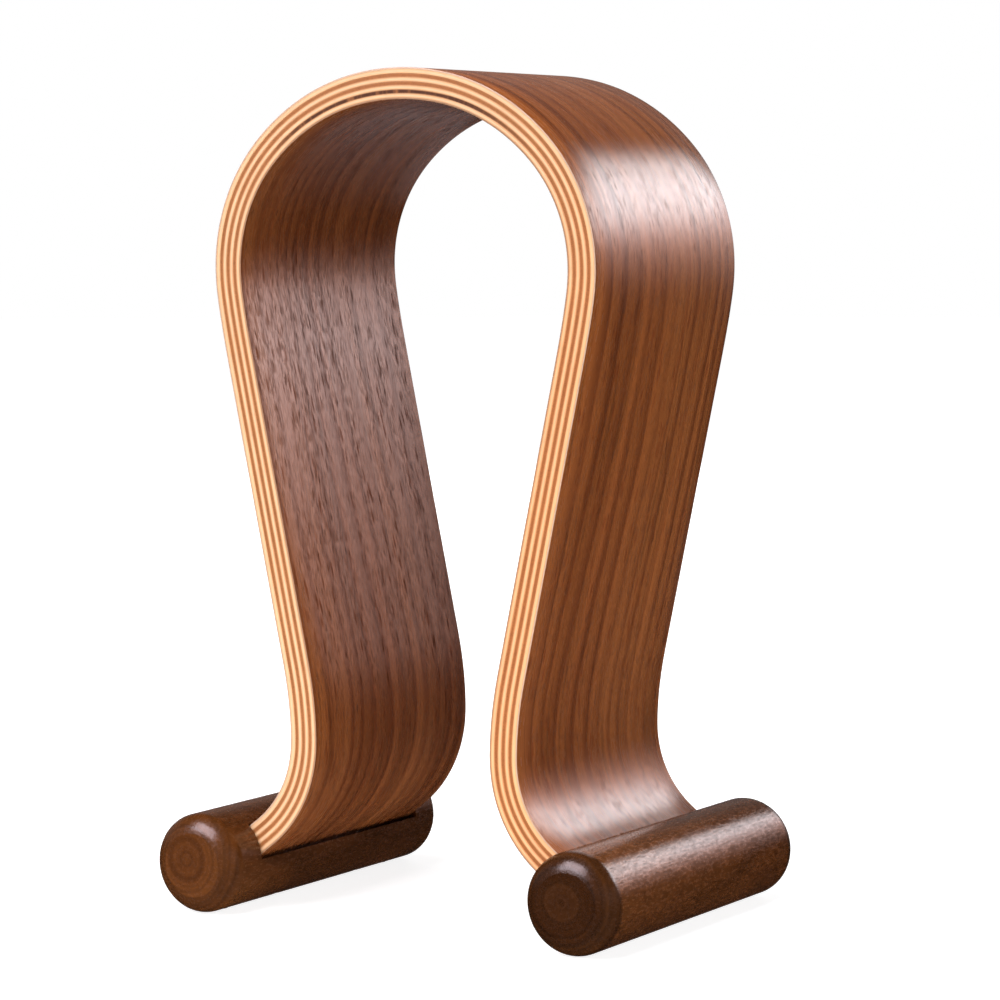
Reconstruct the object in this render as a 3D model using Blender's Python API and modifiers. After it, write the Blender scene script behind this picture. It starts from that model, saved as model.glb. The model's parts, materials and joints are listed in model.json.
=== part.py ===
"""Bent plywood headphone stand.

An omega-shaped strip of laminated wood stands on two turned wooden foot bars.
The strip is seven core plies between two walnut face veneers. Each end of it
is glued into a stopped groove in a foot bar and held by two countersunk wood
screws driven up from below. Two small rubber pads sit in the underside of
each bar.

Frame: metres, +Z up. X runs across the omega, Y runs along the foot bars and
across the strip. The origin is on the resting plane, under the middle.
"""

import math

import bmesh
import bpy
import numpy as np
from mathutils import Matrix, Vector

MM = 0.001

# ---- driving dimensions, millimetres and degrees -------------------------

STRIP_WIDTH = 85.0            # along Y
CORE_PLY = 1.10               # one core ply
FACE_VENEER = 0.48            # one walnut face veneer
GLUE_LINE = 0.055             # between neighbouring layers
CORE_PLIES = 7

# Centreline of half the strip, from the crown down to the heel. Each bend is
# (radius, turn); the leg between the last arch bend and the heel is straight.
ARCH_BENDS = ((72.1, 11.0), (60.8, 35.9), (48.9, 52.0), (313.5, 3.1))
LEG_LENGTH = 94.7
HEEL_ENTRY = (111.6, 11.4)    # the heel's gentle upper bend
HEEL_RADIUS = 35.0
TAIL_SLOPE = 38.0             # how far below horizontal the strip enters the bar
TAIL_LENGTH = 16.0            # straight length of strip from the heel's end
BEND_BLEND = 3.0              # length over which one bend eases into the next

BAR_RADIUS = 14.8
BAR_LENGTH = 116.8
BAR_OFFSET = 63.4             # bar axis from the middle plane
END_ROUND_RADIAL = 8.0        # elliptical rounding of the bar's ends
END_ROUND_AXIAL = 6.4
END_ROUND_START = 20.0        # the rounding leaves the flat end disc at a crease
PAD_PROUD = 0.2               # how far the pads lift the bars

CROWN_ABOVE_BAR_AXIS = 229.1  # strip centreline at the crown over the bar axes
GROOVE_SIDE_OUT = 0.30        # clearance over the strip's upper face
GROOVE_SIDE_IN = 1.45         # shadow gap under the strip's lower face
GROOVE_END = 0.90             # clearance past each edge of the strip
GROOVE_FLOOR = 0.30           # clearance past the strip's end

PAD_RADIUS = 2.5
PAD_THICKNESS = 1.5
PAD_Y = 44.0
PAD_GAP = 0.05

SCREW_Y = 22.0
SCREW_INSET = 3.1             # screw axis, inward of the bar axis
SCREW_SHANK_RADIUS = 1.5
SCREW_HEAD_RADIUS = 3.0
SCREW_HEAD_HEIGHT = 2.0
SCREW_LENGTH = 15.6
SCREW_HEAD_SUNK = 1.2         # head below the bar's lowest surface at the screw
SCREW_GAP = 0.30

TURN_PER_STATION = 5.0        # degrees of bend between stations on the strip
BAR_STEPS = 48

# ---- derived -------------------------------------------------------------

BAR_AXIS_Z = BAR_RADIUS + PAD_PROUD
CROWN_Z = BAR_AXIS_Z + CROWN_ABOVE_BAR_AXIS
STRIP_THICKNESS = (CORE_PLIES * CORE_PLY + 2 * FACE_VENEER
                   + (CORE_PLIES + 1) * GLUE_LINE)


def clear_scene():
    for ob in list(bpy.data.objects):
        bpy.data.objects.remove(ob, do_unlink=True)


def make_collection(name):
    col = bpy.data.collections.new(name)
    bpy.context.scene.collection.children.link(col)
    return col


def material(name, colour, roughness, metallic=0.0):
    mat = bpy.data.materials.new(name)
    mat.use_nodes = True
    bsdf = mat.node_tree.nodes["Principled BSDF"]
    bsdf.inputs["Base Color"].default_value = (*colour, 1.0)
    bsdf.inputs["Roughness"].default_value = roughness
    bsdf.inputs["Metallic"].default_value = metallic
    mat.diffuse_color = (*colour, 1.0)
    return mat


# ---- the strip's profile -------------------------------------------------

def half_profile():
    """Stations (x, z, nx, nz) down the right half of the centreline, in mm.

    The heading turns from horizontal at the crown, past vertical in the arch,
    and back towards horizontal in the heel, where the strip runs outward and
    down into the bar. The curvature eases from each bend to the next.
    """
    pieces = [(1.0 / r, r * math.radians(a)) for r, a in ARCH_BENDS]
    arch_turn = sum(a for _, a in ARCH_BENDS)
    pieces.append((0.0, LEG_LENGTH))
    radius, turn = HEEL_ENTRY
    pieces.append((-1.0 / radius, radius * math.radians(turn)))
    heel_turn = arch_turn - turn - TAIL_SLOPE
    pieces.append((-1.0 / HEEL_RADIUS, HEEL_RADIUS * math.radians(heel_turn)))
    pieces.append((0.0, TAIL_LENGTH))

    bounds, steps = [], []
    s = 0.0
    for (k, length), (k_next, _) in zip(pieces[:-1], pieces[1:]):
        s += length
        bounds.append(s)
        steps.append(k_next - k)
    total = s + pieces[-1][1]
    widths = [BEND_BLEND] * (len(bounds) - 1) + [0.4 * BEND_BLEND]

    def curvature(at):
        k = pieces[0][0]
        for b, step, w in zip(bounds, steps, widths):
            k += step * 0.5 * (1.0 + math.tanh((at - b) / w))
        return k

    ds = 0.1
    count = int(round(total / ds))
    ds = total / count
    x, z, heading = 0.0, 0.0, 0.0
    path = [(0.0, 0.0, 0.0, 0.0)]
    for i in range(count):
        k = curvature((i + 0.5) * ds)
        mid = heading + 0.5 * k * ds
        x += ds * math.cos(mid)
        z -= ds * math.sin(mid)
        heading += k * ds
        path.append(((i + 1) * ds, x, z, heading))

    turn = math.radians(TURN_PER_STATION)
    stations = [path[0]]
    travelled = 0.0
    for here, ahead in zip(path[:-1], path[1:]):
        travelled += abs(ahead[3] - here[3]) / turn
        travelled += (ahead[0] - here[0]) / 60.0
        if travelled >= 1.0:
            travelled -= 1.0
            stations.append(ahead)
    if path[-1][0] - stations[-1][0] < 2.0:
        stations.pop()
    stations.append(path[-1])
    return [(x, z + CROWN_Z, math.sin(h), math.cos(h)) for _, x, z, h in stations]


def layer(name, outer_offset, thickness, mat, col, profile):
    """One layer of the laminate: half an open sheet, mirrored and thickened.

    outer_offset is the layer's outer face from the strip's centreline.
    """
    bm = bmesh.new()
    rows = []
    for x, z, nx, nz in profile:
        px = 0.0 if x == 0.0 else x + outer_offset * nx
        pz = z + outer_offset * nz
        rows.append([bm.verts.new((px * MM, y * MM, pz * MM))
                     for y in (-STRIP_WIDTH / 2, STRIP_WIDTH / 2)])
    for a, b in zip(rows[:-1], rows[1:]):
        bm.faces.new((a[0], b[0], b[1], a[1]))
    mesh = bpy.data.meshes.new(name)
    bm.to_mesh(mesh)
    bm.free()
    ob = bpy.data.objects.new(name, mesh)
    mesh.materials.append(mat)
    col.objects.link(ob)
    mirror = ob.modifiers.new("other_half", "MIRROR")
    mirror.use_axis = (True, False, False)
    mirror.use_mirror_merge = True
    mirror.merge_threshold = 0.00001
    solid = ob.modifiers.new("thickness", "SOLIDIFY")
    solid.thickness = thickness * MM
    solid.offset = -1.0
    solid.use_even_offset = True
    return ob


# ---- turned pieces -------------------------------------------------------

def turned(name, profile, steps, mat, col):
    """A solid turned about local Z from a profile (radius, height) in mm,
    given from its top down to its bottom, on the axis at both ends."""
    bm = bmesh.new()
    verts = [bm.verts.new((r * MM, 0.0, h * MM)) for r, h in profile]
    for a, b in zip(verts[:-1], verts[1:]):
        bm.edges.new((a, b))
    mesh = bpy.data.meshes.new(name)
    bm.to_mesh(mesh)
    bm.free()
    if mat is not None:
        mesh.materials.append(mat)
    ob = bpy.data.objects.new(name, mesh)
    col.objects.link(ob)
    screw = ob.modifiers.new("turn", "SCREW")
    screw.axis = "Z"
    screw.angle = math.tau
    screw.steps = steps
    screw.render_steps = steps
    screw.use_merge_vertices = True
    screw.merge_threshold = 0.00001
    screw.use_smooth_shade = True
    return ob


def bar_profile(samples=5):
    """A bar's outline: flat end disc, elliptical rounding, straight side."""
    half = BAR_LENGTH / 2
    start = math.radians(END_ROUND_START)
    top = [(0.0, half)]
    for i in range(samples + 1):
        a = start + (math.radians(90.0) - start) * i / samples
        top.append((BAR_RADIUS - END_ROUND_RADIAL * (1.0 - math.sin(a)),
                    half - END_ROUND_AXIAL * (math.cos(start) - math.cos(a))))
    return top + [(r, -h) for r, h in reversed(top)]


def screw_profile():
    """Countersunk wood screw, head down, from the point to the head."""
    r, l = SCREW_SHANK_RADIUS, SCREW_LENGTH
    return [(0.0, l), (0.35, l - 0.3), (r, l - 3.2), (r, SCREW_HEAD_HEIGHT),
            (SCREW_HEAD_RADIUS, 0.35), (SCREW_HEAD_RADIUS, 0.0), (0.0, 0.0)]


def screw_hole_profile(depth_below):
    """The countersunk hole round a screw, open downward."""
    g = SCREW_GAP
    r, l = SCREW_SHANK_RADIUS + g, SCREW_LENGTH + g
    head = SCREW_HEAD_RADIUS + g
    return [(0.0, l + 0.3), (r, l - 1.5), (r, SCREW_HEAD_HEIGHT + 0.25),
            (head, 0.35 + 0.1), (head, -depth_below), (0.0, -depth_below)]


def pad_profile():
    r, t = PAD_RADIUS, PAD_THICKNESS
    return [(0.0, t), (r, t), (r, 0.25), (r - 0.25, 0.0), (0.0, 0.0)]


def box(name, size, col):
    """A plain cutter block with its size applied to the mesh, in mm."""
    bm = bmesh.new()
    bmesh.ops.create_cube(bm, size=1.0)
    bmesh.ops.scale(bm, vec=Vector(size) * MM, verts=bm.verts)
    mesh = bpy.data.meshes.new(name)
    bm.to_mesh(mesh)
    bm.free()
    ob = bpy.data.objects.new(name, mesh)
    col.objects.link(ob)
    return ob


def as_cutter(ob):
    ob.hide_render = True
    ob.display_type = "WIRE"
    return ob


def cut(ob, cutter):
    mod = ob.modifiers.new("cut_" + cutter.name, "BOOLEAN")
    mod.operation = "DIFFERENCE"
    mod.solver = "EXACT"
    mod.object = cutter


# ---- the object ----------------------------------------------------------

def main():
    clear_scene()
    stand = make_collection("headphone_stand")
    cutters = make_collection("cutters")

    walnut_veneer = material("walnut_veneer", (0.150, 0.068, 0.034), 0.42)
    core_long = material("core_long_grain", (0.78, 0.50, 0.27), 0.55)
    core_cross = material("core_cross_grain", (0.42, 0.19, 0.085), 0.60)
    walnut_solid = material("walnut_solid", (0.085, 0.036, 0.018), 0.42)
    steel = material("screw_steel", (0.62, 0.61, 0.58), 0.32, 1.0)
    rubber = material("rubber_pad", (0.035, 0.034, 0.033), 0.75)

    profile = half_profile()

    # Laminate, from the outside in.
    offset = STRIP_THICKNESS / 2
    layers = [layer("outer_walnut_veneer", offset, FACE_VENEER,
                    walnut_veneer, stand, profile)]
    offset -= FACE_VENEER + GLUE_LINE
    for i in range(CORE_PLIES):
        mat = core_long if i % 2 == 0 else core_cross
        layers.append(layer("core_ply_%d" % (i + 1), offset, CORE_PLY,
                            mat, stand, profile))
        offset -= CORE_PLY + GLUE_LINE
    layers.append(layer("inner_walnut_veneer", offset, FACE_VENEER,
                        walnut_veneer, stand, profile))

    # Where the strip ends, on the right-hand side.
    end_x, end_z, nx, nz = profile[-1]
    along = Vector((nz, 0.0, -nx))          # outward and down, into the bar
    normal = Vector((nx, 0.0, nz))          # towards the strip's outer face

    for side, sign in (("left", -1.0), ("right", 1.0)):
        bar = turned(side + "_foot_bar", bar_profile(), BAR_STEPS,
                     walnut_solid, stand)
        bar.location = (sign * BAR_OFFSET * MM, 0.0, BAR_AXIS_Z * MM)
        bar.rotation_euler = (math.radians(90.0), 0.0, 0.0)

        # Stopped groove, square to the strip's tail.
        reach = 40.0
        span = STRIP_THICKNESS + GROOVE_SIDE_OUT + GROOVE_SIDE_IN
        groove = as_cutter(box(side + "_groove",
                               (reach, STRIP_WIDTH + 2 * GROOVE_END, span),
                               cutters))
        centre = (Vector((end_x, 0.0, end_z))
                  + along * (GROOVE_FLOOR - reach / 2)
                  + normal * ((GROOVE_SIDE_OUT - GROOVE_SIDE_IN) / 2))
        groove.location = (sign * centre.x * MM, 0.0, centre.z * MM)
        slope = math.atan2(-along.z, along.x)
        groove.rotation_euler = (0.0, sign * slope, 0.0)
        cut(bar, groove)

        for place, y_sign in (("front", -1.0), ("rear", 1.0)):
            # Rubber pad in its recess.
            pad = turned("%s_%s_rubber_pad" % (side, place), pad_profile(),
                         24, rubber, stand)
            pad.location = (sign * BAR_OFFSET * MM, y_sign * PAD_Y * MM, 0.0)
            recess = as_cutter(turned(
                "%s_%s_pad_recess" % (side, place),
                [(0.0, PAD_THICKNESS + PAD_GAP),
                 (PAD_RADIUS + 0.3, PAD_THICKNESS + PAD_GAP),
                 (PAD_RADIUS + 0.3, -2.0), (0.0, -2.0)], 24, None, cutters))
            recess.location = pad.location
            cut(bar, recess)

            # Countersunk screw, driven straight up.
            x = sign * (BAR_OFFSET - SCREW_INSET)
            skin = BAR_AXIS_Z - math.sqrt(BAR_RADIUS ** 2 - SCREW_INSET ** 2)
            z = skin + SCREW_HEAD_SUNK
            y = y_sign * SCREW_Y
            screw = turned("%s_%s_screw" % (side, place), screw_profile(),
                           16, steel, stand)
            screw.location = (x * MM, y * MM, z * MM)
            hole = as_cutter(turned("%s_%s_screw_hole" % (side, place),
                                    screw_hole_profile(6.0), 16, None, cutters))
            hole.location = screw.location
            cut(bar, hole)
            for ob in layers:
                cut(ob, hole)

            # Cross recess in the screw's head.
            for turn, tag in ((0.0, "a"), (90.0, "b")):
                slot = as_cutter(box("%s_%s_cross_%s" % (side, place, tag),
                                     (3.3, 0.70, 2.4), cutters))
                slot.location = screw.location
                slot.rotation_euler = (0.0, 0.0, math.radians(45.0 + turn))
                cut(screw, slot)

    for ob in stand.objects:
        if ob.type == "MESH":
            ob.data.shade_smooth()
    bpy.context.view_layer.update()


main()
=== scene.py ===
"""Looks of the bent plywood headphone stand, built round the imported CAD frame.

Every layer of the laminate gets its own fine swept mesh with grain
coordinates, the foot bars are turned finely and grooved, and the screws and
pads are turned in detail. All materials are procedural.
"""

import json
import math

import bmesh
import bpy
import numpy as np
from mathutils import Matrix, Vector

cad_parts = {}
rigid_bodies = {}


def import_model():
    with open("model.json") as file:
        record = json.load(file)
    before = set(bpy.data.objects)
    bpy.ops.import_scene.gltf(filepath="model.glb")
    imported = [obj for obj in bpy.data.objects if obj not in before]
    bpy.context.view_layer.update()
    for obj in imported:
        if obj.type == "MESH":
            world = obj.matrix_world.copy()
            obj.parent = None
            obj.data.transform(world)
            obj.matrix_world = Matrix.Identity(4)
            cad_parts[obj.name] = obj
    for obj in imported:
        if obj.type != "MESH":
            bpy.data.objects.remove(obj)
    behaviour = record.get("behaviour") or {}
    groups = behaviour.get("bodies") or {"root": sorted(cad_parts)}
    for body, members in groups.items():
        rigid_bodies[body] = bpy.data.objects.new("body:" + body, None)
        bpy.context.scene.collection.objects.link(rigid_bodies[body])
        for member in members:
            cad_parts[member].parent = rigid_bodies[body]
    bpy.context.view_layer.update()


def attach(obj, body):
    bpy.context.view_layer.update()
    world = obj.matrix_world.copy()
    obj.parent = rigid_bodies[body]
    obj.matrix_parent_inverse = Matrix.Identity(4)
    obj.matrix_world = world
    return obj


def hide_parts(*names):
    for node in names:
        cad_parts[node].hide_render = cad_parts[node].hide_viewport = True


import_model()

MM = 0.001

# ---- the CAD's driving dimensions, in millimetres ------------------------

WIDTH = 85.0
CORE_PLY = 1.10
FACE_VENEER = 0.48
GLUE_LINE = 0.055
CORE_PLIES = 7
ARCH_BENDS = ((72.1, 11.0), (60.8, 35.9), (48.9, 52.0), (313.5, 3.1))
LEG_LENGTH = 94.7
HEEL_ENTRY = (111.6, 11.4)
HEEL_RADIUS = 35.0
TAIL_SLOPE = 38.0
TAIL_LENGTH = 16.0
BEND_BLEND = 3.0
BAR_RADIUS = 14.8
BAR_LENGTH = 116.8
BAR_OFFSET = 63.4
END_ROUND_RADIAL = 8.0
END_ROUND_AXIAL = 6.4
END_ROUND_START = 20.0
PAD_PROUD = 0.2
CROWN_ABOVE_BAR_AXIS = 229.1
GROOVE_SIDE_OUT = 0.30
GROOVE_SIDE_IN = 1.45
GROOVE_END = 0.90
GROOVE_FLOOR = 0.30
PAD_RADIUS = 2.5
PAD_THICKNESS = 1.5
PAD_Y = 44.0
SCREW_Y = 22.0
SCREW_INSET = 3.1
SCREW_SHANK_RADIUS = 1.5
SCREW_HEAD_RADIUS = 3.0
SCREW_HEAD_HEIGHT = 2.0
SCREW_LENGTH = 15.6
SCREW_HEAD_SUNK = 1.2
SCREW_GAP = 0.30

BAR_AXIS_Z = BAR_RADIUS + PAD_PROUD
CROWN_Z = BAR_AXIS_Z + CROWN_ABOVE_BAR_AXIS
THICKNESS = CORE_PLIES * CORE_PLY + 2 * FACE_VENEER + (CORE_PLIES + 1) * GLUE_LINE

scene = bpy.context.scene
STAND = bpy.data.collections.new("stand_pieces")
scene.collection.children.link(STAND)
TOOLS = bpy.data.collections.new("cutting_tools")
scene.collection.children.link(TOOLS)


# =========================================================================
# node graph helper
# =========================================================================

class Graph:
    """Small wrapper that builds a Principled material from expressions."""

    def __init__(self, name):
        self.mat = bpy.data.materials.new(name)
        self.mat.use_nodes = True
        self.nt = self.mat.node_tree
        self.nt.nodes.clear()
        self.out = self.nt.nodes.new("ShaderNodeOutputMaterial")
        self.bsdf = self.nt.nodes.new("ShaderNodeBsdfPrincipled")
        self.nt.links.new(self.bsdf.outputs["BSDF"], self.out.inputs["Surface"])

    def put(self, socket, value):
        if value is None:
            return
        if isinstance(value, bpy.types.NodeSocket):
            self.nt.links.new(value, socket)
        elif isinstance(value, (tuple, list)) and socket.type == "RGBA" and len(value) == 3:
            socket.default_value = (*value, 1.0)
        else:
            socket.default_value = value

    def node(self, kind, ins=None, **props):
        n = self.nt.nodes.new(kind)
        for k, v in props.items():
            setattr(n, k, v)
        for k, v in (ins or {}).items():
            self.put(n.inputs[k], v)
        return n

    def math(self, op, a, b=None, c=None, clamp=False):
        n = self.node("ShaderNodeMath", operation=op, use_clamp=clamp)
        for i, v in enumerate((a, b, c)):
            self.put(n.inputs[i], v)
        return n.outputs[0]

    def add(self, a, b):
        return self.math("ADD", a, b)

    def sub(self, a, b):
        return self.math("SUBTRACT", a, b)

    def mul(self, a, b):
        return self.math("MULTIPLY", a, b)

    def madd(self, a, b, c):
        return self.math("MULTIPLY_ADD", a, b, c)

    def step(self, x, lo, hi, to_lo=0.0, to_hi=1.0):
        n = self.node("ShaderNodeMapRange", {"Value": x, "From Min": lo, "From Max": hi,
                                             "To Min": to_lo, "To Max": to_hi},
                      interpolation_type="SMOOTHSTEP")
        return n.outputs["Result"]

    def xyz(self, x, y, z=0.0):
        n = self.node("ShaderNodeCombineXYZ", {"X": x, "Y": y, "Z": z})
        return n.outputs[0]

    def split(self, vec):
        n = self.node("ShaderNodeSeparateXYZ", {"Vector": vec})
        return n.outputs[0], n.outputs[1], n.outputs[2]

    def noise(self, vec, scale=1.0, detail=2.0, rough=0.5, distortion=0.0):
        n = self.node("ShaderNodeTexNoise",
                      {"Vector": vec, "Scale": scale, "Detail": detail,
                       "Roughness": rough, "Distortion": distortion})
        return n.outputs["Fac"]

    def cells(self, vec, scale=1.0, randomness=1.0):
        n = self.node("ShaderNodeTexVoronoi", {"Vector": vec, "Scale": scale,
                                               "Randomness": randomness})
        return n.outputs["Distance"], n.outputs["Color"]

    def ramp(self, fac, stops, interpolation="EASE"):
        n = self.node("ShaderNodeValToRGB", {"Fac": fac})
        cr = n.color_ramp
        cr.interpolation = interpolation
        while len(cr.elements) > len(stops):
            cr.elements.remove(cr.elements[-1])
        while len(cr.elements) < len(stops):
            cr.elements.new(0.5)
        for e, (p, c) in zip(cr.elements, stops):
            e.position = p
            e.color = (*c, 1.0) if len(c) == 3 else c
        return n.outputs["Color"]

    def mix(self, fac, a, b, mode="MIX"):
        n = self.node("ShaderNodeMix", data_type="RGBA", blend_type=mode)
        self.put(n.inputs[0], fac)
        self.put(n.inputs[6], a)
        self.put(n.inputs[7], b)
        return n.outputs[2]

    def shade(self, colour, factor):
        """colour times a grey factor."""
        n = self.node("ShaderNodeVectorMath", operation="SCALE")
        self.put(n.inputs[0], colour)
        self.put(n.inputs["Scale"], factor)
        return n.outputs[0]

    def bump(self, height, distance, strength=1.0, normal=None):
        n = self.node("ShaderNodeBump", {"Height": height, "Distance": distance,
                                         "Strength": strength, "Normal": normal})
        return n.outputs[0]

    def uv(self, name="grain"):
        n = self.node("ShaderNodeUVMap", uv_map=name)
        u, v, _ = self.split(n.outputs[0])
        return u, v

    def attribute(self, name):
        n = self.node("ShaderNodeAttribute", attribute_name=name)
        return n.outputs["Fac"]

    def object_xyz(self):
        n = self.node("ShaderNodeTexCoord")
        return n.outputs["Object"], self.split(n.outputs["Object"])

    def finish(self, colour, roughness, normal=None, **fixed):
        self.put(self.bsdf.inputs["Base Color"], colour)
        self.put(self.bsdf.inputs["Roughness"], roughness)
        if normal is not None:
            self.put(self.bsdf.inputs["Normal"], normal)
        for k, v in fixed.items():
            self.put(self.bsdf.inputs[k.replace("_", " ")], v)
        return self.mat


# =========================================================================
# materials
# =========================================================================

def walnut_veneer(name, seed, light=1.0, rough=0.225, lines=1.0, flecks=1.0, sheen=1.0, painted_side_light=0.0,
                  pale=(0.44, 0.25, 0.15)):
    """Straight-grained walnut face veneer under a satin lacquer.

    u runs along the grain, v across it, both in metres. lines, flecks and
    sheen set how far the growth lines, the short flecks and the changes of
    gloss show. The gradient across the sheet is painted light and shade: one long edge's side is painted
    paler, the other darker. The colour on the rounded long edges is a painted highlight.
    """
    g = Graph(name)
    u, v = g.uv()
    rim = g.attribute("rim")
    u = g.add(u, 1.7 * seed)

    # the figure drifts slowly across the sheet
    drift = g.noise(g.xyz(g.mul(u, 5.0), g.mul(v, 7.0), seed), 1.0, 1.0, 0.4)
    wobble = g.noise(g.xyz(g.mul(u, 30.0), g.mul(v, 60.0), seed + 4.0), 1.0, 1.0, 0.5)
    v1 = g.add(v, g.madd(drift, 0.022, -0.011))
    v1 = g.add(v1, g.madd(wobble, 0.0014, -0.0007))

    def figure(across, along, offset, detail=1.0, rough_=0.5):
        return g.noise(g.xyz(g.mul(v1, across), g.mul(u, along), seed + offset), 1.0, detail, rough_)

    bands = figure(60.0, 1.6, 9.0, 2.0)
    base = g.ramp(bands, [(0.34, (0.226, 0.0640, 0.0150)), (0.50, (0.262, 0.0765, 0.0190)),
                          (0.66, (0.302, 0.0930, 0.0240))])

    # growth rings: each darkens across the sheet, then ends in a short fade
    spacing = figure(38.0, 2.0, 15.0, 0.0)
    ring = g.math("FRACT", g.madd(v1, 145.0, g.mul(spacing, 3.0)))
    late = g.mul(g.step(ring, 0.30, 0.84), g.step(ring, 0.86, 1.0, 1.0, 0.0))
    late = g.mul(late, g.step(figure(75.0, 4.0, 18.0), 0.34, 0.62, 0.42, 1.0))
    # finer growth lines between them, which come and go
    fine = figure(330.0, 6.0, 21.0, 0.5)
    hair = g.mul(g.step(g.math("ABSOLUTE", g.sub(fine, 0.5)), 0.012, 0.050, 1.0, 0.0),
                 g.step(figure(110.0, 14.0, 24.0), 0.42, 0.56))
    # dark streaks where the vessels crowd
    streak, _ = g.cells(g.xyz(g.mul(v1, 640.0), g.mul(u, 105.0), seed + 27.0))
    s2 = g.mul(g.step(streak, 0.16, 0.40, 1.0, 0.0),
               g.step(figure(150.0, 22.0, 30.0), 0.40, 0.56, 0.15, 1.0))
    glow = g.step(figure(230.0, 3.0, 33.0), 0.52, 0.64)
    crowd = g.step(figure(170.0, 16.0, 53.0), 0.36, 0.58, 0.45, 1.0)
    f1 = g.mul(g.step(figure(1650.0, 230.0, 31.0, 1.0), 0.44, 0.53, 1.0, 0.0), crowd)
    f2 = g.step(g.noise(g.xyz(g.mul(v, 3300.0), g.mul(u, 420.0), seed + 37.0), 1.0, 1.0, 0.6),
                0.42, 0.58, 1.0, 0.0)

    tone = g.madd(late, -0.38 * lines, 1.0 + 0.05 * lines)
    # painted light and shade: the sheet is painted paler towards its -y long edge and darker towards its +y
    # edge
    tone = g.mul(tone, g.madd(v, -painted_side_light / 0.0425, 1.0))
    tone = g.mul(tone, g.madd(hair, -0.24 * lines, 1.0))
    tone = g.mul(tone, g.madd(s2, -0.24, 1.0))
    tone = g.mul(tone, g.madd(f1, -0.18 * flecks, 1.0))
    tone = g.mul(tone, g.madd(f2, -0.12 * flecks, 1.0))
    tone = g.mul(tone, g.madd(glow, 0.20, 1.02))
    colour = g.shade(base, g.mul(tone, light))
    # the dark figure is redder
    colour = g.mix(g.math("MAXIMUM", g.mul(late, 0.45), g.mul(s2, 0.6)), colour, (1.0, 0.74, 0.76), "MULTIPLY")

    # open pores: fine dashes along the grain
    jitter = g.noise(g.xyz(g.mul(u, 60.0), g.mul(v, 160.0), seed + 41.0), 1.0, 1.0)
    vp = g.add(v, g.madd(jitter, 0.0010, -0.0005))
    dist, _ = g.cells(g.xyz(g.mul(vp, 1050.0), g.mul(u, 185.0), seed + 43.0))
    pores = g.mul(g.step(dist, 0.14, 0.36, 1.0, 0.0), crowd)
    colour = g.mix(g.mul(pores, 0.50 * flecks), colour, (0.036, 0.009, 0.003))
    # painted highlight: the sheet's sanded long edges are painted paler, as light catching on their rounding
    colour = g.mix(g.mul(rim, 0.85), colour, pale)

    roughness = g.madd(pores, 0.14, g.madd(f1, 0.06, rough))
    height = g.add(g.mul(pores, -1.0), g.add(g.mul(f2, -0.25), g.mul(f1, -0.35)))
    normal = g.bump(height, 0.000004, 1.0)
    dull = g.mul(g.madd(pores, -0.75 * sheen, 1.0), g.mul(g.madd(f1, -0.60 * sheen, 1.0), g.madd(s2, -0.85 * sheen, 1.0)))
    dull = g.mul(dull, g.mul(g.madd(f2, -0.34 * sheen, 1.0), g.madd(late, -0.40 * sheen, 1.0)))
    gloss = g.mul(dull, 0.60 + 0.25 * sheen)
    return g.finish(colour, roughness, normal, Specular_IOR_Level=gloss,
                    Specular_Tint=(1.0, 0.93, 0.92, 1.0))


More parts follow.
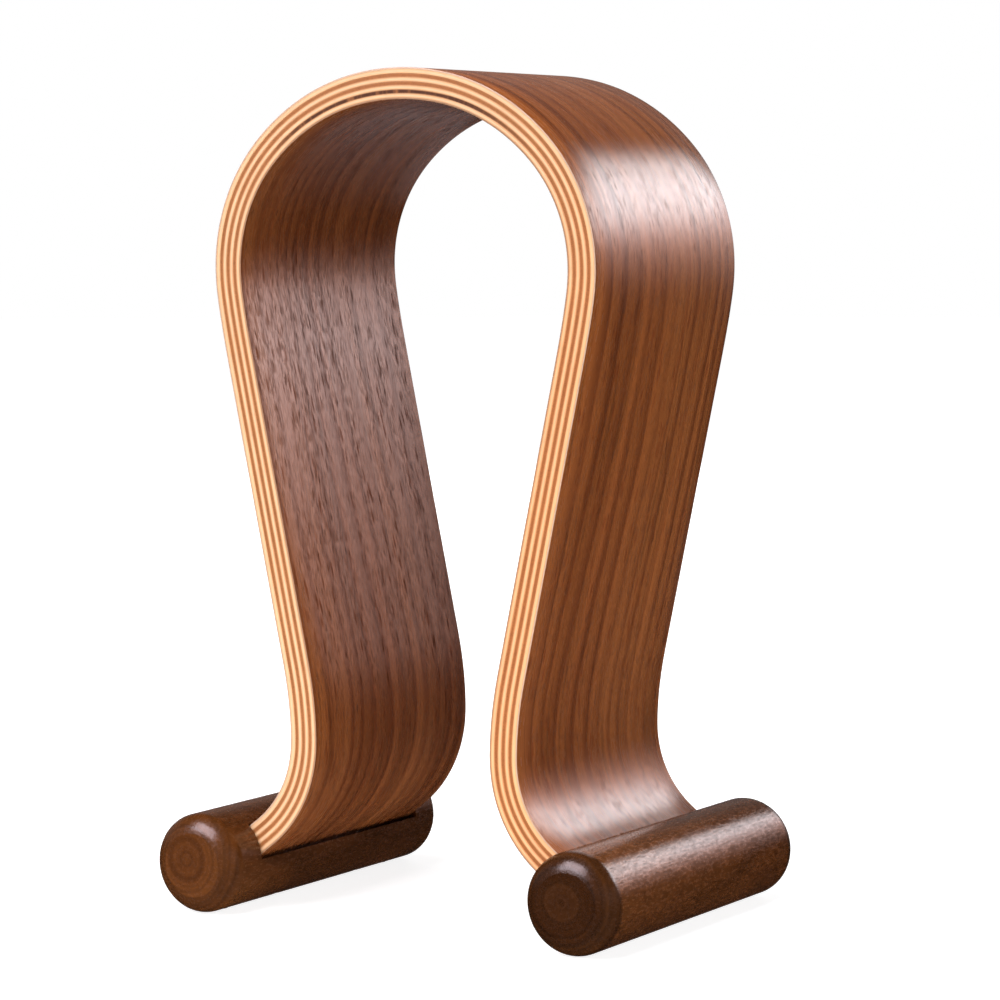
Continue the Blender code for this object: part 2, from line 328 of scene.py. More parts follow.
def core_ply(name, seed, edge, centre, cross, contrast=1.0, dark_stretch=None):
    """A core ply, seen on its sanded edge.

    Long-grain plies show fine lines along the strip and a paler middle.
    Cross-grain plies show end grain: close dots and short marks.
    """
    g = Graph(name)
    u, v = g.uv()
    across = g.attribute("across")
    span = g.math("ABSOLUTE", across)
    slow = g.noise(g.xyz(g.mul(u, 22.0), seed, 0.0), 1.0, 3.0, 0.6)
    patch = g.noise(g.xyz(g.mul(u, 150.0), g.mul(v, 300.0), seed + 2.0), 1.0, 2.0, 0.5)
    # the ply's middle swells and thins a little along the strip
    wander = g.noise(g.xyz(g.mul(u, 60.0), seed + 8.0, 0.0), 1.0, 2.0, 0.6)
    span = g.add(span, g.madd(wander, 0.7, -0.35))
    if cross:
        cell, _ = g.cells(g.xyz(g.mul(u, 2300.0), g.mul(v, 3000.0), seed))
        grain = g.noise(g.xyz(g.mul(u, 1300.0), g.mul(v, 900.0), seed + 5.0), 1.0, 3.0, 0.6)
        dots = g.step(cell, 0.16, 0.42, 1.0, 0.0)
        tone = g.mul(g.madd(dots, -0.26, 1.05), g.madd(grain, 0.50 * contrast, 1.0 - 0.25 * contrast))
        height = g.add(g.mul(dots, -0.8), g.mul(grain, 0.5))
        weight = g.step(span, 0.35, 1.15, 0.0, 1.0)
    else:
        streak = g.noise(g.xyz(g.mul(u, 45.0), g.mul(v, 4200.0), seed), 1.0, 3.0, 0.65)
        fleck = g.noise(g.xyz(g.mul(u, 380.0), g.mul(v, 3600.0), seed + 6.0), 1.0, 2.0, 0.5)
        tone = g.mul(g.madd(streak, 0.30 * contrast, 1.0 - 0.15 * contrast),
                     g.madd(g.step(fleck, 0.60, 0.74), -0.20, 1.0))
        height = g.add(streak, g.mul(fleck, 0.4))
        weight = g.step(span, 0.10, 1.05, 1.0, 0.0)
    tone = g.mul(tone, g.madd(slow, 0.30, 0.85))
    tone = g.mul(tone, g.madd(patch, 0.18, 0.91))
    colour = g.mix(weight, edge, centre)
    if dark_stretch is not None:
        # a darker stretch of this ply
        lo, hi, shade = dark_stretch
        stretch = g.mul(g.step(u, lo[0], lo[1]), g.step(u, hi[0], hi[1], 1.0, 0.0))
        broken = g.step(g.noise(g.xyz(g.mul(u, 210.0), seed + 3.0, 0.0), 1.0, 3.0, 0.6), 0.34, 0.52)
        stretch = g.mul(stretch, g.madd(broken, 0.75, 0.25))
        core = g.step(span, 0.45, 1.25, 1.0, 0.0)
        colour = g.mix(g.mul(g.mul(stretch, core), 0.92), colour, shade)
    # warmer colour towards the right-hand leg
    colour = g.mix(g.step(u, 0.04, 0.12), colour, (1.0, 0.89, 0.77), "MULTIPLY")
    colour = g.shade(colour, tone)
    roughness = g.madd(height, 0.10, 0.50)
    normal = g.bump(height, 0.00003, 0.7)
    return g.finish(colour, roughness, normal, Specular_IOR_Level=0.25)


def solid_walnut(name, seed, light=1.0, end=1.0, shoulder=1.0, speckle=1.0, rough=0.20):
    """Dark solid walnut, turned: rings on the ends, grain along the bar.

    end and shoulder are how dark the end grain is on the flat and on its
    rounding, against the long grain, and light scales the whole bar; as set for the two bars these are partly
    the wood's own tone and partly painted light and shade. speckle is how strongly that is flecked.
    """
    g = Graph(name)
    _, (x, y, z) = g.object_xyz()
    # the pith lies a little off the bar's axis, and the grain wanders
    wx = g.noise(g.xyz(g.mul(y, 9.0), g.mul(x, 14.0), seed), 1.0, 2.0, 0.5)
    wz = g.noise(g.xyz(g.mul(y, 9.0), g.mul(z, 14.0), seed + 7.0), 1.0, 2.0, 0.5)
    px = g.add(x, g.madd(wx, 0.006, -0.003 + 0.0016))
    pz = g.add(z, g.madd(wz, 0.006, -0.003 - 0.0010))
    radius = g.math("SQRT", g.add(g.mul(px, px), g.mul(pz, pz)))
    wavy = g.noise(g.xyz(g.mul(x, 160.0), g.mul(z, 160.0), g.mul(y, 14.0)), 1.0, 1.0, 0.5)
    radius = g.add(radius, g.madd(wavy, 0.0008, -0.0004))
    ring = g.noise(g.xyz(g.mul(radius, 760.0), seed, 0.0), 1.0, 1.0, 0.6)
    broad = g.noise(g.xyz(g.mul(radius, 190.0), g.mul(y, 5.0), seed + 2.0), 1.0, 2.0, 0.5)
    base = g.ramp(broad, [(0.34, (0.060, 0.0172, 0.0032)), (0.50, (0.081, 0.0242, 0.0048)),
                          (0.66, (0.106, 0.0335, 0.0070))])
    tip = g.step(g.math("ABSOLUTE", y), 0.0512, 0.0532)
    body = g.sub(1.0, tip)

    # flecks drawn out along the bar, points on its ends
    fleck = g.step(g.noise(g.xyz(g.mul(x, 1500.0), g.mul(z, 1500.0), g.mul(y, 210.0)), 1.0, 1.0, 0.6),
                   0.40, 0.60)
    cell, _ = g.cells(g.xyz(g.mul(x, 2300.0), g.mul(z, 2300.0), g.mul(y, 560.0)))
    pores = g.mul(g.step(cell, 0.16, 0.40, 1.0, 0.0), g.madd(body, 0.7, 0.3))
    speck = g.step(g.noise(g.xyz(g.mul(x, 1000.0), g.mul(z, 1000.0), g.mul(y, 520.0)), 1.0, 2.0, 0.6),
                   0.38, 0.62)
    mottle = g.noise(g.xyz(g.mul(x, 150.0), g.mul(z, 150.0), g.mul(y, 70.0)), 1.0, 3.0, 0.6)
    fine = g.noise(g.xyz(g.mul(x, 2600.0), g.mul(z, 2600.0), g.mul(y, 2600.0)), 1.0, 1.0, 0.5)

    tone = g.madd(g.step(ring, 0.36, 0.60), 0.34, 0.84)
    tone = g.mul(tone, g.madd(fleck, g.madd(body, 0.36 * speckle, 0.08), g.madd(body, -0.18 * speckle, 0.96)))
    tone = g.mul(tone, g.madd(mottle, 0.50, 0.75))
    tone = g.mul(tone, g.madd(speck, g.madd(body, 0.38 * speckle, 0.06), g.madd(body, -0.20 * speckle, 0.97)))
    tone = g.mul(tone, g.madd(fine, g.mul(tip, 0.50), g.madd(tip, -0.25, 1.0)))
    # end-grain tone on the flat and on its rounding: partly the wood's own tone, partly painted light and
    # shade
    flat = g.step(g.math("SQRT", g.add(g.mul(x, x), g.mul(z, z))), 0.0092, 0.0098, end, shoulder)
    tone = g.mul(tone, g.add(body, g.mul(tip, flat)))
    # light scales the bar's brightness, partly as painted light and shade
    colour = g.shade(base, g.mul(tone, light))
    colour = g.mix(g.mul(pores, 0.34 * speckle), colour, (0.012, 0.004, 0.002))
    roughness = g.madd(pores, 0.10, g.madd(speck, 0.08, rough))
    height = g.add(g.mul(pores, -0.6), g.madd(fleck, 0.5, g.mul(speck, 0.4)))
    normal = g.bump(height, 0.000014, 1.0)
    gloss = g.mul(g.madd(pores, -0.45, 1.0), g.madd(speck, g.mul(body, 0.32), g.madd(tip, 0.26, 0.24)))
    gloss = g.mul(gloss, g.madd(fleck, g.mul(body, 0.50), g.madd(tip, 0.25, 0.70)))
    return g.finish(colour, roughness, normal, Specular_IOR_Level=gloss,
                    Specular_Tint=(1.0, 0.90, 0.91, 1.0))


def screw_steel():
    g = Graph("screw_steel_zinc")
    vec, (x, y, z) = g.object_xyz()
    brushed = g.noise(g.xyz(g.mul(x, 600.0), g.mul(y, 600.0), g.mul(z, 5000.0)), 1.0, 3.0, 0.6)
    bloom = g.noise(vec, 900.0, 3.0, 0.6)
    colour = g.ramp(bloom, [(0.30, (0.40, 0.385, 0.34)), (0.55, (0.58, 0.57, 0.53)),
                            (0.75, (0.66, 0.66, 0.64))])
    roughness = g.madd(brushed, 0.20, 0.20)
    normal = g.bump(brushed, 0.00001, 0.5)
    return g.finish(colour, roughness, normal, Metallic=1.0)


def rubber():
    g = Graph("rubber_matt")
    vec, _ = g.object_xyz()
    grit = g.noise(vec, 6500.0, 3.0, 0.6)
    dust = g.noise(vec, 700.0, 3.0, 0.55)
    colour = g.ramp(dust, [(0.30, (0.016, 0.016, 0.017)), (0.70, (0.040, 0.039, 0.037))])
    roughness = g.madd(dust, 0.20, 0.62)
    normal = g.bump(grit, 0.00003, 0.6)
    return g.finish(colour, roughness, normal, Specular_IOR_Level=0.4)


# =========================================================================
# the laminated strip
# =========================================================================

def centreline(spacing):
    """Points (s, x, z, nx, nz) of the whole strip's centreline, left to right."""
    pieces = [(1.0 / r, r * math.radians(a)) for r, a in ARCH_BENDS]
    turn = sum(a for _, a in ARCH_BENDS)
    pieces.append((0.0, LEG_LENGTH))
    radius, entry = HEEL_ENTRY
    pieces.append((-1.0 / radius, radius * math.radians(entry)))
    pieces.append((-1.0 / HEEL_RADIUS, HEEL_RADIUS * math.radians(turn - entry - TAIL_SLOPE)))
    pieces.append((0.0, TAIL_LENGTH))
    bounds = np.cumsum([length for _, length in pieces])
    widths = [BEND_BLEND] * (len(pieces) - 2) + [0.4 * BEND_BLEND]
    total = float(bounds[-1])
    count = int(round(total / 0.1))
    ds = total / count
    mid = (np.arange(count) + 0.5) * ds
    k = np.full(count, pieces[0][0])
    for b, w, (k0, _), (k1, _) in zip(bounds, widths, pieces[:-1], pieces[1:]):
        k = k + (k1 - k0) * 0.5 * (1.0 + np.tanh((mid - b) / w))
    heading = np.concatenate([[0.0], np.cumsum(k * ds)])
    half = heading[:-1] + 0.5 * k * ds
    x = np.concatenate([[0.0], np.cumsum(np.cos(half) * ds)])
    z = np.concatenate([[0.0], -np.cumsum(np.sin(half) * ds)]) + CROWN_Z
    s = np.arange(count + 1) * ds
    n = int(round(total / spacing))
    at = np.linspace(0.0, total, n + 1)
    xs, zs, hs = (np.interp(at, s, a) for a in (x, z, heading))
    right = np.c_[at, xs, zs, np.sin(hs), np.cos(hs)]
    left = right[:0:-1] * np.array([-1, -1, 1, -1, 1])
    return np.vstack([left, right])


LINE = centreline(1.15)


def rounded_section(top, bottom, half_width, r_top, r_bottom, spans=6, seg=3):
    """Cross-section of a layer: points (offset along the normal, y)."""
    pts = []

    # top face from -y to +y, then down the far edge, back, and up the near edge
    for i in range(1, spans):
        pts.append((top, -half_width + 2 * half_width * i / spans))
    far = []
    for i in range(seg + 1 if r_top > 0 else 1):
        a = math.radians(90.0 - 90.0 * i / seg) if r_top > 0 else 0.0
        far.append((top - r_top + r_top * math.sin(a), half_width - r_top + r_top * math.cos(a))
                   if r_top > 0 else (top, half_width))
    for i in range(seg + 1 if r_bottom > 0 else 1):
        a = math.radians(-90.0 * i / seg) if r_bottom > 0 else 0.0
        far.append((bottom + r_bottom + r_bottom * math.sin(a), half_width - r_bottom + r_bottom * math.cos(a))
                   if r_bottom > 0 else (bottom, half_width))
    pts.extend(far)
    for i in range(spans - 1, 0, -1):
        pts.append((bottom, -half_width + 2 * half_width * i / spans))
    pts.extend((n, -y) for n, y in reversed(far))
    return pts


def layer_mesh(name, top, bottom, half_width, exposed, r_top=0.0, r_bottom=0.0):
    """Sweeps a layer's cross-section along the strip, with grain coordinates.

    exposed is the face the grain is laid out from: +1 outer, -1 inner.
    """
    section = rounded_section(top, bottom, half_width, r_top, r_bottom)
    m = len(section)
    thick = top - bottom
    mid = 0.5 * (top + bottom)
    verts, across = [], []
    for s, x, z, nx, nz in LINE:
        for n, y in section:
            verts.append(((x + n * nx) * MM, y * MM, (z + n * nz) * MM))
            across.append((mid - n) / (0.5 * thick))
    count = len(LINE)
    faces = []
    for i in range(count - 1):
        a, b = i * m, (i + 1) * m
        for j in range(m):
            k = (j + 1) % m
            faces.append((a + j, a + k, b + k, b + j))
    faces.append(tuple(range(m - 1, -1, -1)))
    faces.append(tuple((count - 1) * m + j for j in range(m)))
    mesh = bpy.data.meshes.new(name)
    mesh.from_pydata(verts, [], faces)
    mesh.validate()
    bm = bmesh.new()
    bm.from_mesh(mesh)
    bmesh.ops.recalc_face_normals(bm, faces=bm.faces)
    uv = bm.loops.layers.uv.new("grain")
    last = (count - 1) * m
    bm.verts.ensure_lookup_table()
    cap_edge = LINE[-1][0]
    for f in bm.faces:
        idx = [v.index for v in f.verts]
        cap = len(idx) == m
        ys = [section[i % m][1] for i in idx]
        rim = all(abs(yy) > half_width - max(r_top, r_bottom) - 0.02 for yy in ys) and \
            (max(ys) - min(ys)) < 1.0
        for loop in f.loops:
            i = loop.vert.index
            n, y = section[i % m]
            s = LINE[i // m][0]
            depth = (top - n) if exposed > 0 else (n - bottom)
            if cap:
                loop[uv].uv = ((s + math.copysign(depth, s)) * MM, y * MM)
            elif rim:
                loop[uv].uv = (s * MM, (y + math.copysign(depth, y)) * MM)
            else:
                loop[uv].uv = (s * MM, y * MM)
    bm.to_mesh(mesh)
    bm.free()
    attr = mesh.attributes.new("across", "FLOAT", "POINT")
    attr.data.foreach_set("value", across)
    if r_top > 0 or r_bottom > 0:
        # 1 on the veneer's sanded long edges, fading over their rounding; the veneer's painted edge highlight
        # is laid on it
        soft = 0.5 * max(r_top, r_bottom)
        rim = [min(1.0, max(0.0, (abs(y) - half_width + soft) / soft)) for n, y in section] * count
        attr = mesh.attributes.new("rim", "FLOAT", "POINT")
        attr.data.foreach_set("value", rim)
    mesh.shade_smooth()
    mesh.set_sharp_from_angle(angle=math.radians(40.0))
    ob = bpy.data.objects.new(name, mesh)
    STAND.objects.link(ob)
    return ob


# =========================================================================
# turned pieces
# =========================================================================

def turned_mesh(name, profile, steps, axis="Z", collection=None):
    """A closed solid of revolution from (radius, height) pairs in mm."""
    verts, rings = [], []
    for r, h in profile:
        if r < 1e-6:
            rings.append([len(verts)])
            verts.append((0.0, 0.0, h * MM))
        else:
            ring = []
            for i in range(steps):
                a = math.tau * i / steps
                ring.append(len(verts))
                verts.append((r * MM * math.cos(a), r * MM * math.sin(a), h * MM))
            rings.append(ring)
    faces = []
    for p, q in zip(rings[:-1], rings[1:]):
        for i in range(steps):
            k = (i + 1) % steps
            if len(p) == 1:
                faces.append((p[0], q[i], q[k]))
            elif len(q) == 1:
                faces.append((p[i], q[0], p[k]))
            else:
                faces.append((p[i], q[i], q[k], p[k]))
    mesh = bpy.data.meshes.new(name)
    mesh.from_pydata(verts, [], faces)
    if axis == "Y":
        mesh.transform(Matrix.Rotation(math.radians(90.0), 4, "X"))
    bm = bmesh.new()
    bm.from_mesh(mesh)
    bmesh.ops.recalc_face_normals(bm, faces=bm.faces)
    bm.to_mesh(mesh)
    bm.free()
    ob = bpy.data.objects.new(name, mesh)
    (collection or STAND).objects.link(ob)
    return ob


def box_mesh(name, size):
    bm = bmesh.new()
    bmesh.ops.create_cube(bm, size=1.0)
    bmesh.ops.scale(bm, vec=Vector(size) * MM, verts=bm.verts)
    mesh = bpy.data.meshes.new(name)
    bm.to_mesh(mesh)
    bm.free()
    ob = bpy.data.objects.new(name, mesh)
    TOOLS.objects.link(ob)
    return ob


def cut(ob, cutters):
    """Cuts the pieces' shapes away and keeps the result as a plain mesh."""
    for c in cutters:
        mod = ob.modifiers.new("cut", "BOOLEAN")
        mod.operation = "DIFFERENCE"
        mod.solver = "EXACT"
        mod.object = c
    bpy.context.view_layer.update()
    depsgraph = bpy.context.evaluated_depsgraph_get()
    mesh = bpy.data.meshes.new_from_object(ob.evaluated_get(depsgraph))
    ob.modifiers.clear()
    old = ob.data
    ob.data = mesh
    bpy.data.meshes.remove(old)


def tidy(ob, angle=32.0):
    bm = bmesh.new()
    bm.from_mesh(ob.data)
    bmesh.ops.remove_doubles(bm, verts=bm.verts, dist=1e-7)
    bmesh.ops.dissolve_degenerate(bm, edges=bm.edges, dist=1e-7)
    bm.to_mesh(ob.data)
    bm.free()
    ob.data.shade_smooth()
    ob.data.set_sharp_from_angle(angle=math.radians(angle))


def dress(ob, mat, slot, *nodes):
    ob.data.materials.clear()
    ob.data.materials.append(mat)
    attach(ob, "root")
    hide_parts(*nodes)


# =========================================================================
# build: laminate
# =========================================================================

TAN = (0.64, 0.310, 0.140)
CREAM = (0.74, 0.405, 0.195)
PALE = (0.80, 0.500, 0.290)
BROWN = (0.325, 0.112, 0.034)
BROWN_EDGE = (0.50, 0.225, 0.095)
DARK_BROWN = (0.040, 0.010, 0.003)

layers = {}
offset = THICKNESS / 2
half = WIDTH / 2
veneer_out = layer_mesh("outer_veneer", offset, offset - FACE_VENEER - 0.02, half, 1, r_top=0.16)
layers["outer_walnut_veneer"] = veneer_out
offset -= FACE_VENEER + GLUE_LINE
for i in range(CORE_PLIES):
    cross = i % 2 == 1
    node = "core_ply_%d" % (i + 1)
    layers[node] = layer_mesh("laminate_" + node, offset + 0.018, offset - CORE_PLY - 0.018,
                              half - (0.045 if cross else 0.0), 1)
    offset -= CORE_PLY + GLUE_LINE
veneer_in = layer_mesh("inner_veneer", offset + 0.02, offset - FACE_VENEER, half, -1, r_bottom=0.16)
layers["inner_walnut_veneer"] = veneer_in

# the outer sheet gets painted light and shade across its width, paler towards -y and darker towards +y; both
# sheets' long edges carry a painted highlight colour
mat_out = walnut_veneer("walnut_veneer_outer", 3.0, light=1.01, lines=1.15, flecks=0.7, sheen=0.45, painted_side_light=0.10,
                        pale=(0.62, 0.42, 0.30))
mat_in = walnut_veneer("walnut_veneer_inner", 11.0, light=0.82, lines=0.95)
ply_mats = {
    1: core_ply("core_long_1", 1.0, CREAM, PALE, False),
    2: core_ply("core_cross_2", 2.0, BROWN, BROWN_EDGE, True),
    3: core_ply("core_long_3", 3.0, TAN, PALE, False),
    4: core_ply("core_cross_4", 4.0, BROWN, BROWN_EDGE, True),
    5: core_ply("core_long_5", 5.0, TAN, PALE, False),
    6: core_ply("core_cross_6", 6.0, BROWN, BROWN_EDGE, True,
                dark_stretch=((-0.056, -0.034), (0.022, 0.060), DARK_BROWN)),
    7: core_ply("core_long_7", 7.0, TAN, PALE, False),
}

# =========================================================================
# build: foot bars, screws, pads
# =========================================================================

end_s, end_x, end_z, nx, nz = LINE[-1]
along = Vector((nz, 0.0, -nx))
normal = Vector((nx, 0.0, nz))
slope = math.atan2(-along.z, along.x)


def bar_outline(samples=14):
    half_length = BAR_LENGTH / 2
    start = math.radians(END_ROUND_START)
    disc = BAR_RADIUS - END_ROUND_RADIAL * (1.0 - math.sin(start))
    top = [(0.0, half_length), (disc * 0.5, half_length), (disc * 0.93, half_length)]
    for i in range(samples + 1):
        a = start + (math.radians(90.0) - start) * i / samples
        top.append((BAR_RADIUS - END_ROUND_RADIAL * (1.0 - math.sin(a)),
                    half_length - END_ROUND_AXIAL * (math.cos(start) - math.cos(a))))
    top += [(BAR_RADIUS, half_length * f) for f in (0.72, 0.45, 0.2)]
    return top + [(r, -h) for r, h in reversed(top)]


def screw_outline():
    r, l = SCREW_SHANK_RADIUS, SCREW_LENGTH
    out = [(0.0, l), (0.30, l - 0.25)]
    # thread ridges up the shank
    z, pitch, root = l - 0.6, 1.15, r - 0.42
    while z > SCREW_HEAD_HEIGHT + 3.2:
        taper = min(1.0, (l - z) / 3.0)
        out.append((max(0.35, root * taper), z))
        out.append((max(0.45, r * taper), z - 0.42 * pitch))
        out.append((max(0.45, r * taper), z - 0.55 * pitch))
        z -= pitch
    out += [(root, z), (r, z - 0.5), (r, SCREW_HEAD_HEIGHT),
            (SCREW_HEAD_RADIUS - 0.12, 0.32), (SCREW_HEAD_RADIUS, 0.18),
            (SCREW_HEAD_RADIUS - 0.08, 0.03), (SCREW_HEAD_RADIUS - 0.25, 0.0), (0.0, 0.0)]
    return out


def screw_hole_outline():
    g = SCREW_GAP
    r, l = SCREW_SHANK_RADIUS + g, SCREW_LENGTH + g
    head = SCREW_HEAD_RADIUS + g
    return [(0.0, l + 0.3), (r, l - 1.5), (r, SCREW_HEAD_HEIGHT + 0.25),
            (head, 0.45), (head, -6.0), (0.0, -6.0)]


def pad_outline():
    r, t = PAD_RADIUS, PAD_THICKNESS
    out = [(0.0, t), (r, t), (r, 0.40)]
    for i in range(1, 5):
        a = math.radians(90.0 * i / 4)
        out.append((r - 0.40 + 0.40 * math.cos(a), 0.40 - 0.40 * math.sin(a)))
    # a shallow moulded dish inside the pad's rim
    out += [(r - 0.8, 0.0), (r - 1.0, 0.15), (0.0, 0.15)]
    return out


steel = screw_steel()
black = rubber()
# the bars differ partly in the wood's own tone, partly by painted light and shade: the left bar's end is
# painted lighter and its body darker, the right bar's end flat and end rounding darker
bar_mats = {"left": solid_walnut("solid_walnut_left", 5.0, 0.80, 1.42, 1.00, 0.45),
            "right": solid_walnut("solid_walnut_right", 19.0, 1.00, 0.42, 0.38, 0.75)}
holes = []
for side, sign in (("left", -1.0), ("right", 1.0)):
    bar = turned_mesh(side + "_bar_turned", bar_outline(), 160, "Y")
    bar.location = (sign * BAR_OFFSET * MM, 0.0, BAR_AXIS_Z * MM)
    cutters = []
    reach = 40.0
    span = THICKNESS + GROOVE_SIDE_OUT + GROOVE_SIDE_IN
    groove = box_mesh(side + "_groove_tool", (reach, WIDTH + 2 * GROOVE_END, span))
    centre = (Vector((end_x, 0.0, end_z)) + along * (GROOVE_FLOOR - reach / 2)
              + normal * ((GROOVE_SIDE_OUT - GROOVE_SIDE_IN) / 2))
    groove.location = (sign * centre.x * MM, 0.0, centre.z * MM)
    groove.rotation_euler = (0.0, sign * slope, 0.0)
    cutters.append(groove)
    for place, y_sign in (("front", -1.0), ("rear", 1.0)):
        node = "%s_%s_" % (side, place)
        pad = turned_mesh(node + "pad_moulded", pad_outline(), 64)
        pad.location = (sign * BAR_OFFSET * MM, y_sign * PAD_Y * MM, 0.0)
        tidy(pad)
        dress(pad, black, "rubber_pad", node + "rubber_pad")
        recess = turned_mesh(node + "recess_tool",
                             [(0.0, PAD_THICKNESS + 0.05), (PAD_RADIUS + 0.3, PAD_THICKNESS + 0.05),
                              (PAD_RADIUS + 0.3, -2.0), (0.0, -2.0)], 64, "Z", TOOLS)
        recess.location = pad.location
        cutters.append(recess)

        x = sign * (BAR_OFFSET - SCREW_INSET)
        skin = BAR_AXIS_Z - math.sqrt(BAR_RADIUS ** 2 - SCREW_INSET ** 2)
        at = Vector((x, y_sign * SCREW_Y, skin + SCREW_HEAD_SUNK)) * MM
        screw = turned_mesh(node + "wood_screw", screw_outline(), 48)
        screw.location = at
        slots = []
        for turn in (45.0, 135.0):
            slot = box_mesh(node + "driver_tool", (3.4, 0.68, 2.6))
            slot.location = at
            slot.rotation_euler = (0.0, 0.0, math.radians(turn))
            slots.append(slot)
        cut(screw, slots)
        tidy(screw)
        dress(screw, steel, "screw_steel", node + "screw")
        hole = turned_mesh(node + "hole_tool", screw_hole_outline(), 48, "Z", TOOLS)
        hole.location = at
        cutters.append(hole)
        holes.append(hole)
    cut(bar, cutters)
    tidy(bar, 12.0)
    dress(bar, bar_mats[side], "walnut_solid", side + "_foot_bar")

for node, ob in layers.items():
    if node == "outer_walnut_veneer":
        dress(ob, mat_out, "walnut_veneer", node)
    elif node == "inner_walnut_veneer":
        cut(ob, holes)
        dress(ob, mat_in, "walnut_veneer", node)
    else:
        i = int(node[-1])
        if i >= 2:
            cut(ob, holes)
        dress(ob, ply_mats[i], "core_long_grain" if i % 2 else "core_cross_grain", node)

for ob in list(TOOLS.objects):
    data = ob.data
    bpy.data.objects.remove(ob)
    bpy.data.meshes.remove(data)
bpy.data.collections.remove(TOOLS)

# =========================================================================
# stage: pale floor, pale surround, soft lights, camera
# =========================================================================


def emission(name, colour, strength):
    mat = bpy.data.materials.new(name)
    mat.use_nodes = True
    nt = mat.node_tree
    nt.nodes.clear()
    out = nt.nodes.new("ShaderNodeOutputMaterial")
    em = nt.nodes.new("ShaderNodeEmission")
    em.inputs["Color"].default_value = (*colour, 1.0)
    em.inputs["Strength"].default_value = strength
    nt.links.new(em.outputs[0], out.inputs["Surface"])
    return mat


def stage_disc(name, radius, z, mat):
    bm = bmesh.new()
    bmesh.ops.create_circle(bm, cap_ends=True, segments=96, radius=radius)
    mesh = bpy.data.meshes.new(name)
    bm.to_mesh(mesh)
    bm.free()
    mesh.materials.append(mat)
    ob = bpy.data.objects.new(name, mesh)
    ob.location.z = z
    scene.collection.objects.link(ob)
    return ob


paper = Graph("pale_floor")
_, (fx, fy, fz) = paper.object_xyz()
reach = paper.math("SQRT", paper.add(paper.mul(fx, fx), paper.mul(fy, fy)))
paper.put(paper.bsdf.inputs["Emission Color"], (1.0, 1.0, 1.0))
paper.put(paper.bsdf.inputs["Emission Strength"], paper.step(reach, 0.14, 0.30, 0.86, 1.0))
paper.finish((0.45, 0.45, 0.45), 0.9, None, Specular_IOR_Level=0.1)
floor = stage_disc("floor", 0.34, 0.0, paper.mat)
floor.visible_glossy = False
far_floor = stage_disc("far_floor", 6.0, -0.0005, paper.mat)
far_floor.visible_glossy = False
far_floor.visible_diffuse = False

bm = bmesh.new()
bmesh.ops.create_uvsphere(bm, u_segments=64, v_segments=32, radius=5.5)
bmesh.ops.reverse_faces(bm, faces=bm.faces)
mesh = bpy.data.meshes.new("surround")
bm.to_mesh(mesh)
bm.free()
mesh.materials.append(emission("surround_white", (1.0, 1.0, 1.0), 1.0))
surround = bpy.data.objects.new("surround", mesh)
scene.collection.objects.link(surround)
surround.visible_diffuse = False
surround.visible_glossy = False
surround.visible_transmission = False
surround.visible_shadow = False


def softbox(name, at, aim, width, height, power, colour=(1, 1, 1), glossy=True, diffuse=True):
    light = bpy.data.lights.new(name, "AREA")
    light.shape = "RECTANGLE"
    light.size = width
    light.size_y = height
    light.energy = power
    light.color = colour
    ob = bpy.data.objects.new(name, light)
    scene.collection.objects.link(ob)
    ob.location = at
    ob.rotation_euler = (Vector(aim) - Vector(at)).to_track_quat("-Z", "Y").to_euler()
    ob.visible_camera = False
    ob.visible_glossy = glossy
    ob.visible_diffuse = diffuse
    return ob


HEART = (0.0, 0.0, 0.13)
# front light from the left, for the strip's edge
softbox("front_key", (-0.70, -1.65, 1.15), HEART, 1.2, 1.0, 25.0, glossy=False)
# a tall glowing pane behind, to the right, brightest above its middle
PANE_AZIMUTH = math.radians(26.0)
pane_out = Vector((math.sin(PANE_AZIMUTH), math.cos(PANE_AZIMUTH), 0.0)) * 1.10
pane_right = Vector((math.cos(PANE_AZIMUTH), -math.sin(PANE_AZIMUTH), 0.0))
mesh = bpy.data.meshes.new("glowing_pane")
mesh.from_pydata([pane_out + pane_right * a + Vector((0.0, 0.0, b))
                  for a, b in ((-0.58, 0.0), (0.58, 0.0), (0.58, 0.96), (-0.58, 0.96))],
                 [], [(0, 1, 2, 3)])
pane = Graph("glowing_pane")
_, (cx, cy, cz) = pane.object_xyz()
sideways = pane.madd(cx, math.cos(PANE_AZIMUTH), pane.mul(cy, -math.sin(PANE_AZIMUTH)))
level = pane.ramp(cz, [(0.0, (0.006, 0.004, 0.004)), (0.08, (0.030, 0.0205, 0.0190)),
                       (0.17, (0.095, 0.0640, 0.0580)), (0.24, (0.165, 0.1110, 0.1010)),
                       (0.28, (0.225, 0.153, 0.140)), (0.32, (0.310, 0.215, 0.199)),
                       (0.366, (0.440, 0.325, 0.312)), (0.43, (0.64, 0.530, 0.528)),
                       (0.495, (0.86, 0.800, 0.820)), (0.54, (0.96, 0.930, 0.960)),
                       (0.65, (0.95, 0.930, 0.965)), (0.71, (0.85, 0.83, 0.855)),
                       (0.76, (0.72, 0.705, 0.720)), (0.82, (0.43, 0.42, 0.43)),
                       (0.89, (0.12, 0.12, 0.12)), (0.95, (0.0, 0.0, 0.0))], "LINEAR")
lit = pane.node("ShaderNodeEmission", {"Color": level,
                                       "Strength": pane.mul(pane.step(sideways, -0.44, -0.24),
                                                            pane.step(sideways, 0.34, 0.54, 7.7, 0.0))})
pane.nt.links.new(lit.outputs[0], pane.out.inputs["Surface"])
pane.nt.nodes.remove(pane.bsdf)
mesh.materials.append(pane.mat)
card = bpy.data.objects.new("glowing_pane", mesh)
scene.collection.objects.link(card)
card.visible_camera = False
card.visible_diffuse = False
card.visible_transmission = False
card.visible_shadow = False

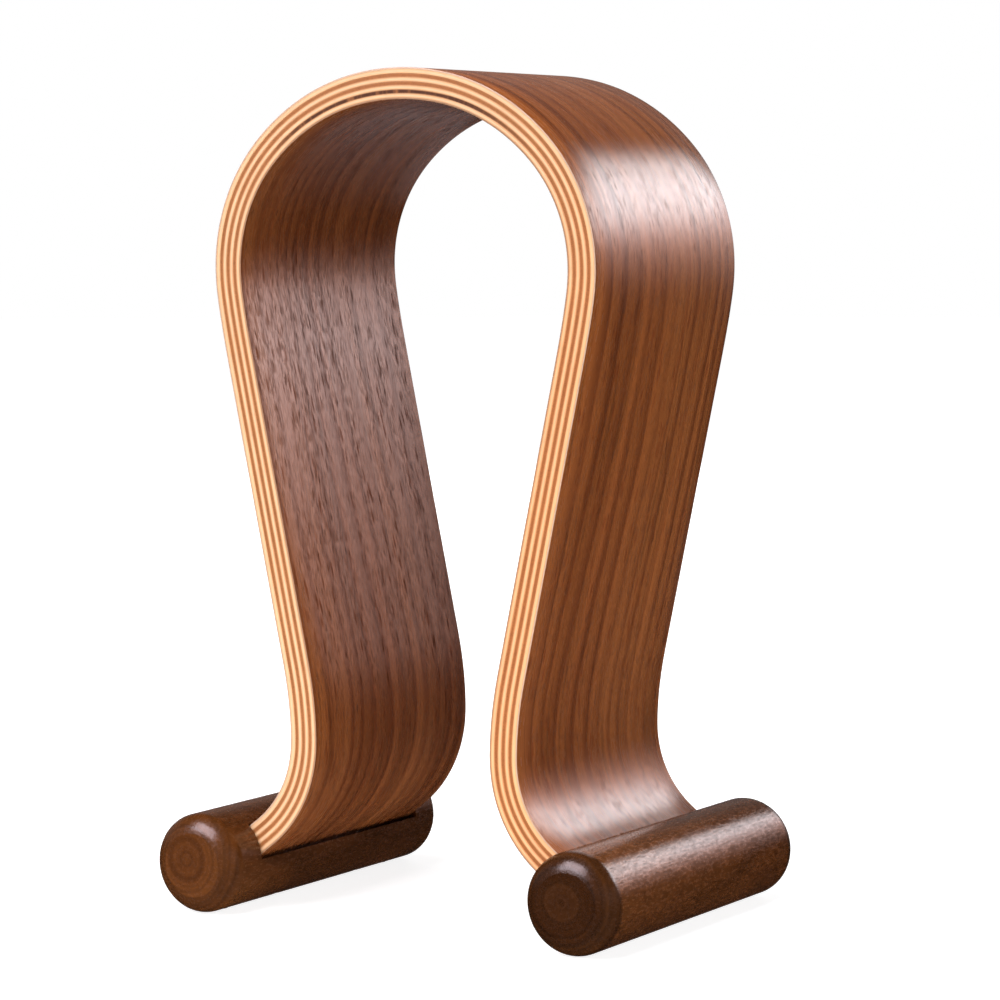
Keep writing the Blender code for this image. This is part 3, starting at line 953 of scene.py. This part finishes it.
# the table's far side, seen only in the underside of the arch
bm = bmesh.new()
bmesh.ops.create_circle(bm, cap_ends=True, segments=64, radius=0.38)
mesh = bpy.data.meshes.new("table_glow")
bm.to_mesh(mesh)
bm.free()
patch = Graph("table_glow")
_, (cx, cy, cz) = patch.object_xyz()
spread = patch.math("SQRT", patch.add(patch.mul(cx, cx), patch.mul(cy, cy)))
fade = patch.node("ShaderNodeEmission", {"Color": (0.92, 0.90, 1.0),
                                         "Strength": patch.step(spread, 0.18, 0.38, 0.25, 0.0)})
patch.nt.links.new(fade.outputs[0], patch.out.inputs["Surface"])
patch.nt.nodes.remove(patch.bsdf)
mesh.materials.append(patch.mat)
card = bpy.data.objects.new("table_glow", mesh)
card.location = (-0.20, 0.53, -0.001)
scene.collection.objects.link(card)
card.visible_camera = False
card.visible_diffuse = False
card.visible_transmission = False
card.visible_shadow = False

softbox("side_fill", (0.70, -0.36, 0.25), HEART, 0.6, 0.4, 2.35, glossy=False)
# weak light from behind on the left, for the strip's far edge
softbox("back_fill", (-0.70, 1.60, 0.60), HEART, 1.0, 0.8, 14.0, glossy=False)
# broad overhead light
softbox("top_soft", (-0.10, -0.55, 1.45), HEART, 1.15, 1.15, 31.5, (0.97, 0.95, 1.0), glossy=False)
# a card high on the left in front, seen only in the rounded bar ends
softbox("end_card", (-0.36, -0.92, 0.95), (0.0, -0.05, 0.015), 0.90, 0.80, 23.0, (0.97, 0.92, 1.0),
        diffuse=False)

# soft surroundings: dim air, darker overhead and near the table
world = bpy.data.worlds.new("studio_air")
scene.world = world
world.use_nodes = True
wt = world.node_tree
wt.nodes.clear()
w_dir = wt.nodes.new("ShaderNodeTexCoord")
w_sep = wt.nodes.new("ShaderNodeSeparateXYZ")
wt.links.new(w_dir.outputs["Generated"], w_sep.inputs[0])
w_ramp = wt.nodes.new("ShaderNodeValToRGB")
wt.links.new(w_sep.outputs[2], w_ramp.inputs["Fac"])
stops = [(0.0, (0.012, 0.010, 0.010)), (0.04, (0.12, 0.115, 0.12)), (0.18, (0.20, 0.195, 0.20)),
         (0.33, (0.20, 0.195, 0.20)), (0.50, (0.08, 0.078, 0.08)), (0.60, (0.018, 0.018, 0.020))]
while len(w_ramp.color_ramp.elements) < len(stops):
    w_ramp.color_ramp.elements.new(0.5)
for e, (at, c) in zip(w_ramp.color_ramp.elements, stops):
    e.position = at
    e.color = (*c, 1.0)
w_bg = wt.nodes.new("ShaderNodeBackground")
wt.links.new(w_ramp.outputs["Color"], w_bg.inputs["Color"])
w_out = wt.nodes.new("ShaderNodeOutputWorld")
wt.links.new(w_bg.outputs[0], w_out.inputs["Surface"])

scene.view_settings.view_transform = "Standard"

yaw, pitch, roll = 0.53391, -0.08218, -0.00178
forward = Vector((-math.sin(yaw) * math.cos(pitch), math.cos(yaw) * math.cos(pitch), math.sin(pitch)))
right = forward.cross(Vector((0, 0, 1))).normalized()
up = right.cross(forward)
c, s = math.cos(roll), math.sin(roll)
right, up = c * right + s * up, -s * right + c * up
cam_data = bpy.data.cameras.new("camera")
cam_data.sensor_width = 36.0
cam_data.lens = 36.0 * 3.639075
cam_data.clip_start = 0.05
cam_data.clip_end = 50.0
camera = bpy.data.objects.new("camera", cam_data)
scene.collection.objects.link(camera)
camera.matrix_world = Matrix((
    (right.x, up.x, -forward.x, 0.556025),
    (right.y, up.y, -forward.y, -0.926795),
    (right.z, up.z, -forward.z, -0.03334 + (CROWN_Z * MM)),
    (0, 0, 0, 1)))
scene.camera = camera

bpy.context.view_layer.update()
